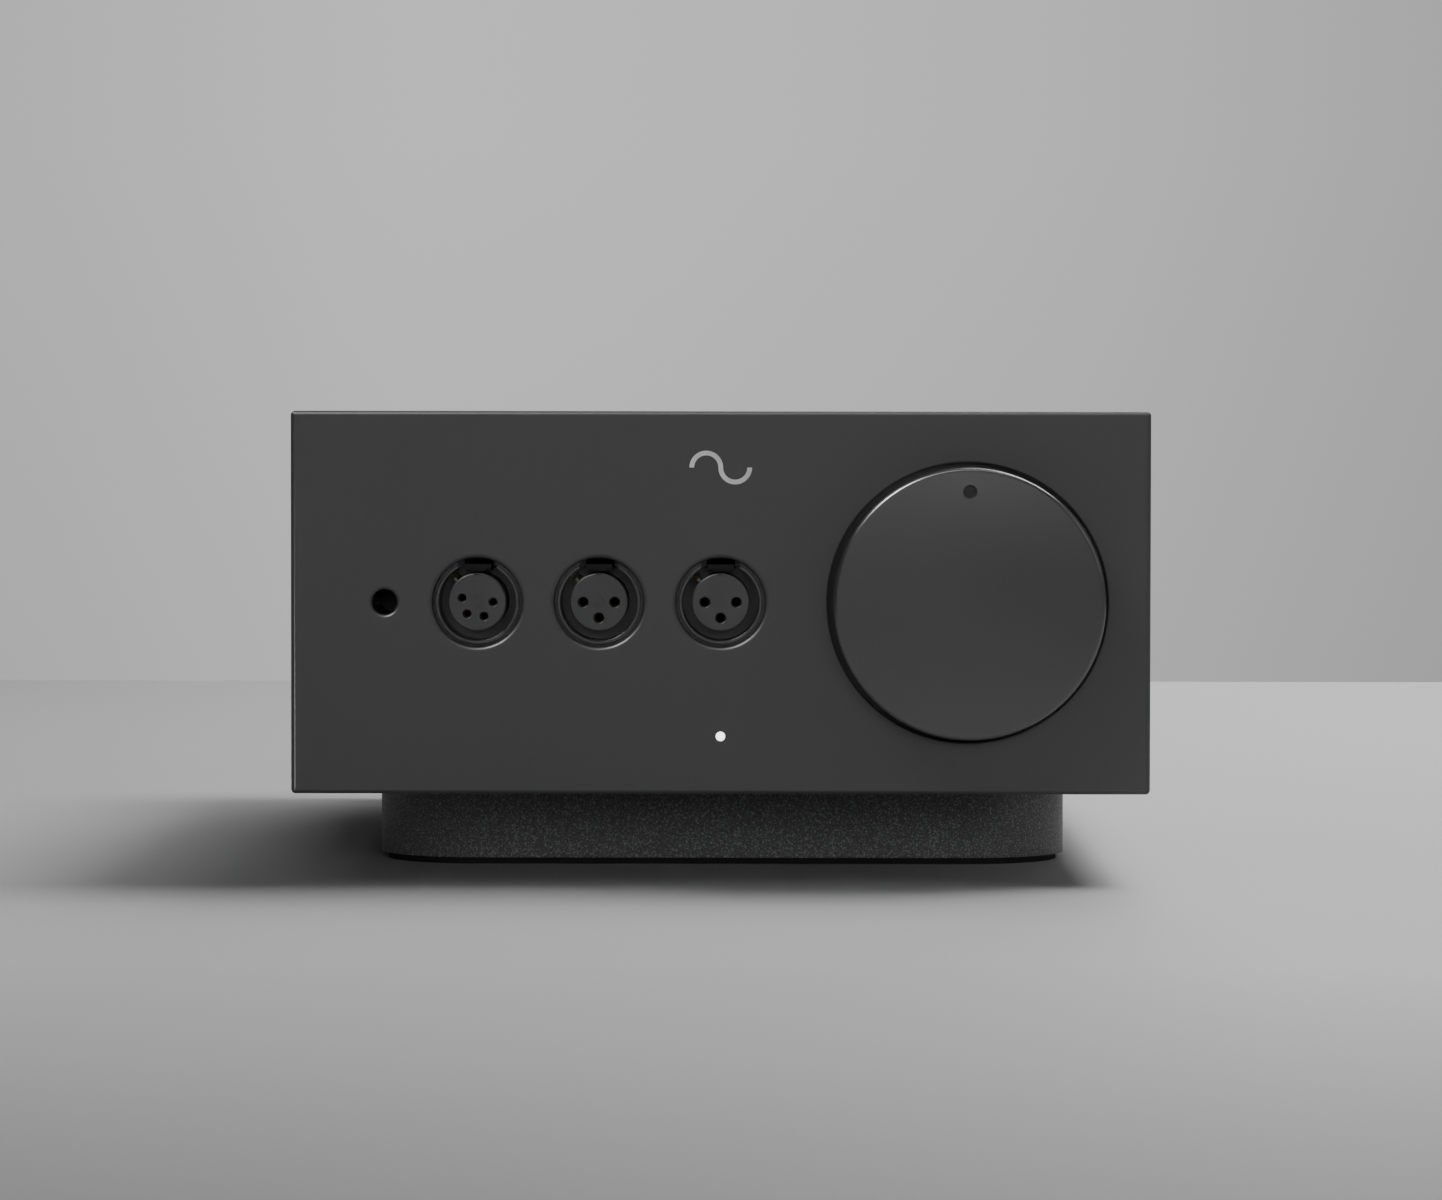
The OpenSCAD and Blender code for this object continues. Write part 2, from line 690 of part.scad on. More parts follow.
// ---------- power supply ----------

module transformer() {
  round_r = 6;
  color([0.75, 0.6, 0.15]) translate([coil_at[0], coil_at[1], z_floor + pad_t])
    rotate_extrude($fn = 96) translate([(coil_r + coil_hole_r) / 2, coil_h / 2])
      rounded(coil_r - coil_hole_r, coil_h, round_r);
}

module transformer_pads() {
  color([0.05, 0.05, 0.05]) for (z = [z_floor, z_floor + pad_t + coil_h])
    translate([coil_at[0], coil_at[1], z]) difference() {
      cylinder(h = pad_t, r = coil_r - 7);
      translate([0, 0, -cut]) cylinder(h = pad_t + 2 * cut, r = 6);
    }
}

module transformer_plate() {
  color(steel) translate([coil_at[0], coil_at[1], z_floor + 2 * pad_t + coil_h]) difference() {
    cylinder(h = 2, r = coil_r - 10);
    translate([0, 0, -cut]) cylinder(h = 2 + 2 * cut, r = bolt_r + 0.2);
  }
}

module transformer_bolt() {
  z_nut = z_floor + 2 * pad_t + coil_h + 2;
  color(steel) translate([coil_at[0], coil_at[1], 0]) {
    translate([0, 0, z_base]) cylinder(h = wall, r1 = 7, r2 = bolt_r);
    post(0, 0, z_floor, z_nut + 9, bolt_r);
    difference() {
      translate([0, 0, z_nut]) cylinder(h = 6, r = 7.5, $fn = 6);
      post(0, 0, z_nut - cut, z_nut + 6 + cut, bolt_r + fit);
    }
  }
}

module drilled_board(size, at, holes) {
  color(board_green) difference() {
    translate([at[0], at[1], z_board]) linear_extrude(board_t) square(size, center = true);
    for (h = holes) post(h[0], h[1], z_board - cut, z_parts + cut, 1.6);
  }
}

module power_board_parts() {
  color(dark_plastic) {
    block([84, 20, z_parts], [96, 50, z_parts + 24]);
    for (i = [0:3]) block([22 + i * 17, 92, z_parts], [35 + i * 17, 107, z_parts + 16]);
    for (i = [0:2]) block([26 + i * 20, 114, z_parts], [40 + i * 20, 124, z_parts + 12]);
    for (i = [0:4]) post(89, 56 + i * 8, z_parts, z_parts + 12, 3);
  }
}

module reservoir_capacitors() {
  can_r = 15;
  can_h = 42;
  color([0.1, 0.12, 0.25]) for (x = [30, 64], y = [30, 66]) difference() {
    post(x, y, z_parts, z_parts + can_h, can_r);
    translate([x, y, z_parts + 4]) rotate_extrude() translate([can_r, 0]) circle(0.8, $fn = 24);
    translate([x, y, z_parts + can_h]) cube([16, 0.6, 0.6], center = true);
    translate([x, y, z_parts + can_h]) cube([0.6, 16, 0.6], center = true);
  }
}

// ---------- amplifier and converter ----------

module heatsink() {
  x_wall = -inner_w / 2;
  color(black) {
    block([x_wall, -118, 40], [x_wall + 6, -20, 108]);
    for (i = [0:6]) block([x_wall + 6, -118, 72 + i * 5.7], [x_wall + 22, -20, 73.8 + i * 5.7]);
  }
}

module output_transistors() {
  x_face = -inner_w / 2 + 6;
  color(dark_plastic) for (i = [0:3]) translate([x_face, -108 + i * 24, 0]) {
    block([0, 0, 46], [4.8, 15.6, 66]);
    for (k = [-1, 0, 1]) block([2, 7.2 + k * 5.4, z_parts], [2.8, 8.4 + k * 5.4, 46]);
  }
}

module main_board_parts() {
  color(dark_plastic) {
    for (i = [0:3], j = [0:1])
      block([-84 + j * 26, -96 + i * 20, z_parts], [-74 + j * 26, -86 + i * 20, z_parts + 3]);
    for (i = [0:4]) post(-24, -92 + i * 17, z_parts, z_parts + 16, 5);
    block([-80, 2, z_parts], [-56, 26, z_parts + 2.4]);
    for (i = [0:1]) block([-46 + i * 22, 4, z_parts], [-32 + i * 22, 18, z_parts + 6]);
    for (i = [0:5]) post(-88 + i * 14, 42, z_parts, z_parts + 9, 3.5);
    for (i = [0:2]) block([-86 + i * 28, 56, z_parts], [-70 + i * 28, 72, z_parts + 2.4]);
    block([-84, 86, z_parts], [-40, 116, z_parts + 8]);
    for (i = [0:3]) post(-30 + (i % 2) * 12, 90 + floor(i / 2) * 14, z_parts, z_parts + 12, 4);
  }
}

module board_standoffs() {
  color(steel) for (h = concat(main_holes, power_holes)) difference() {
    post(h[0], h[1], z_floor, z_board, 3);
    post(h[0], h[1], z_floor + 3, z_board + cut, screw_hole_r);
  }
}

module board_screws() {
  color(steel) for (h = concat(main_holes, power_holes)) {
    post(h[0], h[1], z_board - 5, z_parts, screw_r);
    post(h[0], h[1], z_parts, z_parts + 2, 2.8);
  }
}

module ribbon_cable() {
  y_board = y_face + board_in + board_t;
  color([0.6, 0.6, 0.62]) along_x(-46, 26) {
    translate([y_board, 46]) square([20, 1]);
    translate([y_board + 19, z_parts]) square([1, 47 - z_parts]);
  }
}

// Extrudes an outline drawn in the side view along X, centred on x
module along_x(x, w) {
  translate([x - w / 2, 0, 0]) rotate([90, 0, 90]) linear_extrude(w) children();
}

module mains_harness() {
  y_lug = y_rear - 28;
  color([0.3, 0.2, 0.1]) for (i = [-1, 0, 1])
    tube([
      [inlet_x + i * 7, y_lug, inlet_cup_z],
      [inlet_x + i * 7, y_lug - 4, inlet_cup_z],
      [inlet_x + i * 8, y_lug - 8, inlet_cup_z + 3],
      [66 + i * 20, 124, 62],
      [53 + i * 20 - 7, 120, 60],
      [53 + i * 20 - 7, 119, 54],
      [53 + i * 20 - 7, 119, z_parts + 12]
    ], 1.4);
}

// ---------- rear connectors ----------

module line_output_shells() {
  for (x = out_x) translate([x, y_rear, z_upper]) color(black) difference() {
    union() {
      along_y(0, 1.8) rounded(xlr_flange[0], xlr_flange[1], 2);
      rod_y(0, 0, -18, 0.5, 11.8);
    }
    rod_y(0, 0, -14, 1.8 + cut, 9.6);
    cone_y(0, 0, 1.4, 1.8 + cut, 9.6, 9.6 + 0.4 + cut);
    for (s = [-1, 1]) rod_y(s * xlr_screw[0], s * xlr_screw[1], -cut, 1.8 + cut, screw_hole_r);
    for (a = angles3) rod_y(-pin_circle * cos(a), -pin_circle * sin(a), -18 - cut, -13, 1.2 + fit);
  }
}

module line_output_pins() {
  color(gold) for (x = out_x, a = angles3)
    rod_y(x - pin_circle * cos(a), z_upper - pin_circle * sin(a), y_rear - 22, y_rear - 3, 1.2);
}

phono_places = concat([for (x = phono_upper_x) [x, z_upper]], [phono_lower]);

module rca_shells() {
  color(gold) for (p = phono_places) difference() {
    union() {
      rod_y(p[0], p[1], y_rear_in - 6, y_cover_end + phono_proud, phono_r);
      translate([p[0], y_rear, p[1]]) rotate([-90, 0, 0]) cylinder(h = 2, r = 6.6, $fn = 6);
    }
    rod_y(p[0], p[1], y_rear_in, y_cover_end + phono_proud + cut, 3.3);
  }
}

module rca_contacts() {
  color("white") for (p = phono_places) difference() {
    rod_y(p[0], p[1], y_rear_in, y_rear + 7, 3.25);
    rod_y(p[0], p[1], y_rear_in + 1, y_rear + 7 + cut, 1.6);
  }
}

module usb_socket() {
  y_mouth = y_rear + 1;
  z_mid = z_parts + 5.5;
  color(steel) {
    difference() {
      block([usb_x - 6, y_mouth - 16.5, z_parts], [usb_x + 6, y_mouth, z_parts + 11]);
      translate([usb_x, 0, z_mid]) along_y(y_mouth - 15, y_mouth + cut)
        polygon([[-4.2, -3.9], [4.2, -3.9], [4.2, 2.2], [2.6, 3.9], [-2.6, 3.9], [-4.2, 2.2]]);
    }
    block([usb_x - 2.8, y_mouth - 15, z_mid - 1.6], [usb_x + 2.8, y_mouth - 2, z_mid + 1.6]);
  }
}

module optical_socket() {
  y_mouth = y_rear + 1.6;
  color(dark_plastic) difference() {
    block([optical_x - 5, y_mouth - 14, z_parts], [optical_x + 5, y_mouth, z_parts + 10.6]);
    block([optical_x - 3.5, y_mouth - 12, optical_z - 3.6], [optical_x + 3.5, y_mouth + cut, optical_z + 4]);
    rod_x(optical_x, y_mouth - 1.3, optical_z + 3, 8.6, 0.45);
  }
}

module optical_shutter() {
  y_mouth = y_rear + 1.6;
  color(black) {
    block([optical_x - 3.1, y_mouth - 1.6, optical_z - 3.2], [optical_x + 3.1, y_mouth - 1, optical_z + 3]);
    rod_x(optical_x, y_mouth - 1.3, optical_z + 3, 6.2, 0.6);
    rod_x(optical_x, y_mouth - 1.3, optical_z + 3, 8.2, 0.4);
  }
}

module mains_inlet() {
  color(dark_plastic) {
    difference() {
      union() {
        translate([inlet_x, 0, inlet_z]) along_y(y_rear, y_inlet_face)
          rounded(inlet_flange[0], inlet_flange[1], 3);
        translate([inlet_x, 0, inlet_z]) along_y(y_rear - 28, y_rear + 0.5)
          rounded(inlet_body[0], inlet_body[1], 1.8);
      }
      translate([inlet_x, 0, inlet_cup_z]) along_y(y_inlet_face - 19, y_inlet_face + cut)
        polygon([[-12.2, -8.2], [12.2, -8.2], [12.2, 4], [8, 8.2], [-8, 8.2], [-12.2, 4]]);
      block([inlet_x - 11.7, y_inlet_face - 26, drawer_z - 3.9],
            [inlet_x + 11.7, y_inlet_face + cut, drawer_z + 3.9]);
      block([inlet_x - 10.9, y_inlet_face - 18, rocker_z - 7.2],
            [inlet_x + 10.9, y_inlet_face + cut, rocker_z + 7.2]);
      for (s = [-1, 1])
        rod_y(inlet_x, inlet_z + s * 31, y_rear - cut, y_inlet_face + cut, screw_hole_r);
    }
    post(inlet_x, y_rocker, rocker_z - 7.4, rocker_z + 7.4, 1);
  }
}

module mains_inlet_pins() {
  color(steel) for (i = [-1, 0, 1])
    block([inlet_x + i * 7 - 1, y_inlet_face - 19, inlet_cup_z - 2 + (i == 0 ? 3.5 : -0.5)],
          [inlet_x + i * 7 + 1, y_inlet_face - 5, inlet_cup_z + 2 + (i == 0 ? 3.5 : -0.5)]);
}

module fuse_drawer() {
  color(dark_plastic) difference() {
    union() {
      block([inlet_x - 11.4, y_inlet_face - 24, drawer_z - 3.6],
            [inlet_x + 11.4, y_inlet_face + 0.2, drawer_z + 3.6]);
      block([inlet_x - 12.4, y_inlet_face + 0.1, drawer_z - 4.4],
            [inlet_x + 12.4, y_inlet_face + 1.3, drawer_z + 4.4]);
    }
    block([inlet_x - 10.4, y_inlet_face - 20, drawer_z - 2.6],
          [inlet_x + 10.4, y_inlet_face - 12, drawer_z + 5]);
    block([inlet_x - 4, y_inlet_face + 0.5, drawer_z + 3],
          [inlet_x + 4, y_inlet_face + 2, drawer_z + 5]);
  }
}

module fuse() {
  color(steel) rod_x(inlet_x, y_inlet_face - 16, drawer_z, 20, 2.5);
}

module power_rocker() {
  color(dark_plastic) translate([inlet_x, y_rocker, rocker_z - 6.9]) rotate(-rocker_tilt) linear_extrude(13.8)
    difference() {
      union() {
        polygon([[-10, 5.4], [-10, 2.6], [-6, 0], [6, 0], [10, 2.6], [10, 5.4], [0, 3.6]]);
        circle(2.6);
      }
      circle(1 + fit);
    }
}

module rear_connector_screws() {
  color(dark_plastic) {
    for (x = out_x, s = [-1, 1])
      screw_y(x + s * xlr_screw[0], z_upper + s * xlr_screw[1], y_rear + 1.8, -8);
    for (s = [-1, 1]) screw_y(inlet_x, inlet_z + s * 31, y_inlet_face, -8);
  }
}

// ---------- assembly ----------

front_panel();
top_cover();
base_plate();
rear_panel();
plinth();
foot_pad();
front_emblem();
status_lens();
case_screws();
cover_screws();
plinth_screws();
volume_knob();
knob_set_screw();
control_shaft();
volume_control();
control_nut();
jack_body();
jack_contacts();
in_row(0) xlr_shell();  // xlr4_shell
in_row(0) xlr_insert(angles4);  // xlr4_insert
in_row(0) xlr_contacts(angles4);  // xlr4_contacts
in_row(0) xlr_latch();  // xlr4_latch
in_row(1) xlr_shell();  // xlr3_left_shell
in_row(1) xlr_insert(angles3);  // xlr3_left_insert
in_row(1) xlr_contacts(angles3);  // xlr3_left_contacts
in_row(1) xlr_latch();  // xlr3_left_latch
in_row(2) xlr_shell();  // xlr3_centre_shell
in_row(2) xlr_insert(angles3);  // xlr3_centre_insert
in_row(2) xlr_contacts(angles3);  // xlr3_centre_contacts
in_row(2) xlr_latch();  // xlr3_centre_latch
front_socket_screws();
headphone_board();
transformer();
transformer_pads();
transformer_plate();
transformer_bolt();
drilled_board(power_board, power_board_at, power_holes);
power_board_parts();
reservoir_capacitors();
heatsink();
output_transistors();
drilled_board(main_board, main_board_at, main_holes);
main_board_parts();
board_standoffs();
board_screws();
ribbon_cable();
mains_harness();
line_output_shells();
line_output_pins();
rca_shells();
rca_contacts();
usb_socket();
optical_socket();
optical_shutter();
mains_inlet();
mains_inlet_pins();
fuse_drawer();
fuse();
power_rocker();
rear_connector_screws();
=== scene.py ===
import json
import math

import bpy
from mathutils import Matrix, Vector


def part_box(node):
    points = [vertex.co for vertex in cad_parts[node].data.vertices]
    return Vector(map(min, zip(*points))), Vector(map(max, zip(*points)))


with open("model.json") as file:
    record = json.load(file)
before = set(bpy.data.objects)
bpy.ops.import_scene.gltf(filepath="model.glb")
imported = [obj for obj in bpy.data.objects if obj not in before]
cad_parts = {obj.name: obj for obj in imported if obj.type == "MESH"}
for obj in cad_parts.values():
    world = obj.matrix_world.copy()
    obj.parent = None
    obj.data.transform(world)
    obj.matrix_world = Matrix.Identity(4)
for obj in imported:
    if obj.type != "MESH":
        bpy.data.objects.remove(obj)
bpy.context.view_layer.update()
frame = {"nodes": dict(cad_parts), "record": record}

MM = 0.001


# ---------- places taken from the frame ----------

def middle(node):
    low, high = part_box(node)
    return (low + high) / 2


KNOB_LOW, KNOB_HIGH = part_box("volume_knob")
FACE_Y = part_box("front_panel")[0].y
KNOB_AXIS = middle("control_nut")
KNOB_R = (KNOB_HIGH.x - KNOB_LOW.x) / 2
MARK_INSET = 6 * MM
MARK_R = 1.8 * MM
KNOB_MARK = KNOB_AXIS + Vector((0, 0, KNOB_R - MARK_INSET))


# ---------- camera ----------

def make_camera():
    """Stands in front of the panel, a little right of its middle, and looks slightly down."""
    stand_off = 1.311
    side = 0.0072
    height = 0.111
    pitch = math.radians(1.65)
    yaw = math.radians(-0.31)
    roll = math.radians(0.07)
    data = bpy.data.cameras.new("camera")
    data.sensor_width = 36
    data.lens = 128.05
    camera = bpy.data.objects.new("camera", data)
    turn = (Matrix.Rotation(-yaw, 4, "Z") @ Matrix.Rotation(math.pi / 2 - pitch, 4, "X")
            @ Matrix.Rotation(roll, 4, "Z"))
    camera.matrix_world = Matrix.Translation((side, FACE_Y - stand_off, height)) @ turn
    bpy.context.scene.collection.objects.link(camera)
    bpy.context.scene.camera = camera


# ---------- material tools ----------

def map_range(tree, value, low, high, to_low, to_high):
    made = tree.nodes.new("ShaderNodeMapRange")
    for key, number in (("From Min", low), ("From Max", high), ("To Min", to_low), ("To Max", to_high)):
        made.inputs[key].default_value = number
    tree.links.new(value, made.inputs["Value"])
    return made.outputs["Result"]


def fill_ramp(ramp, stops):
    """Sets a colour ramp to a list of (position, colour) stops."""
    marks = ramp.color_ramp.elements
    while len(marks) < len(stops):
        marks.new(0.5)
    for mark, (position, colour) in zip(marks, stops):
        mark.position = position
        mark.color = (*colour, 1)


class Recipe:
    """A material's node tree, with short calls for the nodes that the finishes share."""

    def __init__(self, name, base, rough, metal=0.0, spec=0.5):
        self.material = bpy.data.materials.new(name)
        self.material.use_nodes = True
        self.tree = self.material.node_tree
        self.shader = self.tree.nodes["Principled BSDF"]
        self.shader.inputs["Base Color"].default_value = (*base, 1)
        self.shader.inputs["Roughness"].default_value = rough
        self.shader.inputs["Metallic"].default_value = metal
        self.shader.inputs["Specular IOR Level"].default_value = spec
        self.place = self.tree.nodes.new("ShaderNodeTexCoord").outputs["Object"]
        self.bump_end = None

    def node(self, kind, **values):
        made = self.tree.nodes.new(kind)
        for key, value in values.items():
            if key in made.inputs:
                made.inputs[key].default_value = value
            else:
                setattr(made, key, value)
        return made

    def link(self, out, into):
        self.tree.links.new(out, into)

    def stretched(self, scale):
        """Coordinates stretched by a factor on each axis."""
        mapping = self.node("ShaderNodeMapping")
        mapping.inputs["Scale"].default_value = scale
        self.link(self.place, mapping.inputs["Vector"])
        return mapping.outputs["Vector"]

    def noise(self, scale, detail=4, rough=0.6, at=None):
        made = self.node("ShaderNodeTexNoise", Scale=scale, Detail=detail, Roughness=rough)
        self.link(at or self.place, made.inputs["Vector"])
        return made.outputs["Fac"]

    def cells(self, scale, feature="F1"):
        made = self.node("ShaderNodeTexVoronoi", feature=feature, Scale=scale)
        self.link(self.place, made.inputs["Vector"])
        return made.outputs["Distance"]

    def ranged(self, value, low, high, to_low, to_high):
        return map_range(self.tree, value, low, high, to_low, to_high)

    def tint(self, value, stops):
        """Base colour from a value, through a ramp of (position, colour) stops."""
        ramp = self.node("ShaderNodeValToRGB")
        fill_ramp(ramp, stops)
        self.link(value, ramp.inputs["Fac"])
        self.link(ramp.outputs["Color"], self.shader.inputs["Base Color"])
        return self

    def rough_from(self, value, low, high, to_low, to_high):
        self.link(self.ranged(value, low, high, to_low, to_high), self.shader.inputs["Roughness"])
        return self

    def bump(self, value, strength, depth):
        made = self.node("ShaderNodeBump", Strength=strength, Distance=depth)
        self.link(value, made.inputs["Height"])
        if self.bump_end:
            self.link(self.bump_end, made.inputs["Normal"])
        self.bump_end = made.outputs["Normal"]
        self.link(self.bump_end, self.shader.inputs["Normal"])
        return self


def shade(colour, factor):
    return tuple(min(1.0, c * factor) for c in colour)


# ---------- finishes ----------

def satin_paint(name, base, rough, grain=5200, depth=0.00002, ior=1.5):
    """Fine matt anodised or painted metal: a tight grain, with cloudy roughness."""
    made = Recipe(name, base, rough)
    made.shader.inputs["IOR"].default_value = ior
    cloud = made.noise(14, detail=3)
    fine = made.noise(grain, detail=3, rough=0.7)
    made.tint(fine, [(0.3, shade(base, 0.86)), (0.7, shade(base, 1.14))])
    made.rough_from(cloud, 0.3, 0.7, rough - 0.03, rough + 0.03)
    made.bump(fine, 0.25, depth)
    return made.material


def powder_coat(name, base, rough):
    """Sandy powder coat: rounded grains with small bright specks."""
    made = Recipe(name, base, rough)
    grains = made.noise(1500, detail=5, rough=0.75)
    specks = made.noise(2600, detail=2, rough=0.5)
    made.tint(specks, [(0.35, shade(base, 0.6)), (0.55, base), (0.70, shade(base, 2.6))])
    made.rough_from(grains, 0.35, 0.65, rough - 0.1, rough + 0.12)
    made.bump(grains, 0.6, 0.00016)
    return made.material


def moulded(name, base, rough, grain=2600):
    """Moulded plastic with a faint spark-eroded texture."""
    made = Recipe(name, base, rough)
    texture = made.noise(grain, detail=4, rough=0.65)
    cloud = made.noise(60, detail=2)
    made.tint(cloud, [(0.35, shade(base, 0.9)), (0.65, shade(base, 1.12))])
    made.rough_from(texture, 0.3, 0.7, rough - 0.06, rough + 0.08)
    made.bump(texture, 0.3, 0.00003)
    return made.material


def turned_metal(name, base, rough, axis_scale=(1, 40, 40)):
    """Drawn or turned metal, with fine lines along one axis."""
    made = Recipe(name, base, rough, metal=1.0)
    lines = made.noise(220, detail=5, rough=0.7, at=made.stretched(axis_scale))
    cloud = made.noise(180, detail=3)
    made.tint(cloud, [(0.3, shade(base, 0.86)), (0.7, shade(base, 1.08))])
    made.rough_from(lines, 0.3, 0.7, rough - 0.07, rough + 0.1)
    made.bump(lines, 0.15, 0.00001)
    return made.material


def metal_painted_dark_in_tube(name, base, rough, shade_from):
    """Plated contact metal: its own bright colour as far in as shade_from, and painted shade, nearly
    black, deeper in its tube.
    """
    made = Recipe(name, base, rough, metal=1.0)
    split = made.node("ShaderNodeSeparateXYZ")
    made.link(made.place, split.inputs["Vector"])
    scuffs = made.noise(2400, detail=3)
    ragged_shade_edge = made.node("ShaderNodeMath", operation="MULTIPLY_ADD")
    made.link(scuffs, ragged_shade_edge.inputs[0])
    ragged_shade_edge.inputs[1].default_value = 0.0001
    made.link(split.outputs["Y"], ragged_shade_edge.inputs[2])
    depth = made.ranged(ragged_shade_edge.outputs["Value"], shade_from, shade_from + 0.0003, 0, 1)
    # painted shade: deeper than shade_from the contact's colour drops to 0.06 of itself, for the shade
    # inside the socket's tube
    made.tint(depth, [(0.0, base), (1.0, shade(base, 0.06))])
    made.rough_from(scuffs, 0.3, 0.7, rough, rough + 0.15)
    return made.material


def satin_paint_with_shaded_hollow(name, base, rough, ior, mark, mark_r, face_y):
    """Satin paint with painted shade: a darker floor in one round hollow of the face."""
    made = Recipe(name, base, rough)
    made.shader.inputs["IOR"].default_value = ior
    fine = made.noise(7000, detail=3, rough=0.7)
    cloud = made.noise(14, detail=3)
    split = made.node("ShaderNodeSeparateXYZ")
    made.link(made.place, split.inputs["Vector"])
    flat = made.node("ShaderNodeCombineXYZ")
    made.link(split.outputs["X"], flat.inputs["X"])
    made.link(split.outputs["Z"], flat.inputs["Z"])
    away = made.node("ShaderNodeVectorMath", operation="DISTANCE")
    made.link(flat.outputs["Vector"], away.inputs[0])
    away.inputs[1].default_value = (mark.x, 0, mark.z)
    inside = made.ranged(away.outputs["Value"], mark_r, mark_r + 0.0001, 1, 0)
    deep = made.ranged(split.outputs["Y"], face_y + 0.0008, face_y + 0.0011, 0, 1)
    hollow_floor_mask = made.node("ShaderNodeMath", operation="MULTIPLY")
    made.link(inside, hollow_floor_mask.inputs[0])
    made.link(deep, hollow_floor_mask.inputs[1])
    grain = made.ranged(fine, 0.3, 0.7, 0.86, 1.14)
    # painted shade: the hollow's floor, more than 0.8 mm behind the face, is dimmed to 0.3 of the
    # paint's colour
    hollow_shade = made.ranged(hollow_floor_mask.outputs["Value"], 0, 1, 1.0, 0.3)
    grain_and_hollow_shade = made.node("ShaderNodeMath", operation="MULTIPLY")
    made.link(grain, grain_and_hollow_shade.inputs[0])
    made.link(hollow_shade, grain_and_hollow_shade.inputs[1])
    made.tint(grain_and_hollow_shade.outputs["Value"], [(0.0, (0, 0, 0)), (1.0, shade(base, 1.0))])
    made.rough_from(cloud, 0.3, 0.7, rough - 0.03, rough + 0.03)
    made.bump(fine, 0.25, 0.00001)
    return made.material


def rubber(name, base):
    made = Recipe(name, base, 0.8)
    dust = made.noise(420, detail=6, rough=0.7)
    pits = made.cells(1500)
    made.tint(dust, [(0.4, base), (0.8, shade(base, 2.2))])
    made.rough_from(dust, 0.3, 0.7, 0.72, 0.9)
    made.bump(pits, 0.4, 0.00008)
    return made.material


def laminate(name, base):
    """Circuit board: solder mask over a faint weave and track pattern."""
    made = Recipe(name, base, 0.35)
    tracks = made.node("ShaderNodeTexBrick", Scale=90)
    made.link(made.place, tracks.inputs["Vector"])
    made.tint(tracks.outputs["Fac"], [(0.2, base), (0.9, shade(base, 1.7))])
    made.rough_from(made.noise(300), 0.3, 0.7, 0.3, 0.42)
    made.bump(tracks.outputs["Fac"], 0.3, 0.00004)
    return made.material


def winding(name, base):
    """Transformer tape: overlapping wraps that run round the ring."""
    made = Recipe(name, base, 0.4)
    wraps = made.node("ShaderNodeTexWave", Scale=30, Distortion=3)
    wraps.wave_type = "RINGS"
    made.link(made.place, wraps.inputs["Vector"])
    made.tint(wraps.outputs["Fac"], [(0.2, shade(base, 0.7)), (0.8, base)])
    made.rough_from(made.noise(200), 0.3, 0.7, 0.32, 0.5)
    made.bump(wraps.outputs["Fac"], 0.4, 0.0002)
    return made.material


def lit_lens(name):
    """Milky light pipe, lit from behind, a little dimmer in fine cloudy patches."""
    made = Recipe(name, (0.9, 0.93, 1.0), 0.3)
    made.shader.inputs["Emission Color"].default_value = (0.93, 0.96, 1.0, 1)
    made.shader.inputs["Emission Strength"].default_value = 3.0
    haze = made.noise(900, detail=3)
    made.tint(haze, [(0.3, (0.8, 0.84, 0.9)), (0.7, (0.95, 0.97, 1.0))])
    made.rough_from(haze, 0.3, 0.7, 0.25, 0.4)
    return made.material


def clear_glass(name):
    made = Recipe(name, (0.85, 0.88, 0.88), 0.08)
    made.shader.inputs["Transmission Weight"].default_value = 0.7
    made.rough_from(made.noise(500), 0.3, 0.7, 0.05, 0.12)
    return made.material


# The knob's cloudy roughness reaches 0.03 above this. With a top of 0.28 its roughest patches
# showed hard outlines after denoising, and with 0.27 they don't.
KNOB_ROUGH = 0.24


def make_finishes():
    return {
        "case_black": satin_paint("case_black", (0.048, 0.048, 0.0497), 0.42),
        "knob_black": satin_paint_with_shaded_hollow("knob_black", (0.050, 0.050, 0.0515), KNOB_ROUGH, 1.7,
                                   KNOB_MARK, MARK_R, KNOB_LOW.y),
        "plinth_black": powder_coat("plinth_black", (0.105, 0.105, 0.108), 0.45),
        "foot_rubber": rubber("foot_rubber", (0.010, 0.010, 0.010)),
        "pad_rubber": rubber("pad_rubber", (0.02, 0.02, 0.02)),
        "emblem_silver": turned_metal("emblem_silver", (0.78, 0.78, 0.79), 0.32, (1, 1, 60)),
        "light_white": lit_lens("light_white"),
        "screw_black": turned_metal("screw_black", (0.06, 0.06, 0.062), 0.4, (20, 1, 20)),
        "screw_steel": turned_metal("screw_steel", (0.6, 0.6, 0.61), 0.35, (20, 1, 20)),
        "shaft_steel": turned_metal("shaft_steel", (0.58, 0.58, 0.59), 0.3, (1, 60, 1)),
        "socket_black": satin_paint("socket_black", (0.06, 0.06, 0.062), 0.22, grain=3000, ior=1.8),
        "insert_plastic": moulded("insert_plastic", (0.045, 0.045, 0.047), 0.42),
        "contact_gold": turned_metal("contact_gold", (0.83, 0.6, 0.25), 0.22, (30, 1, 30)),
        "contact_insulator": moulded("contact_insulator", (0.7, 0.7, 0.68), 0.4),
        "board_laminate": laminate("board_laminate", (0.02, 0.13, 0.06)),
        "component_black": moulded("component_black", (0.04, 0.04, 0.042), 0.5),
        "capacitor_sleeve": moulded("capacitor_sleeve", (0.04, 0.05, 0.12), 0.3),
        "winding": winding("winding", (0.6, 0.45, 0.08)),
        "heatsink_black": satin_paint("heatsink_black", (0.04, 0.04, 0.04), 0.5),
        "ribbon_grey": moulded("ribbon_grey", (0.42, 0.42, 0.44), 0.5),
        "wire_sleeve": moulded("wire_sleeve", (0.16, 0.09, 0.04), 0.45),
        "connector_steel": turned_metal("connector_steel", (0.64, 0.64, 0.65), 0.28, (1, 30, 1)),
        "connector_plastic": moulded("connector_plastic", (0.026, 0.026, 0.027), 0.5),
        "fuse_glass": clear_glass("fuse_glass"),
    }


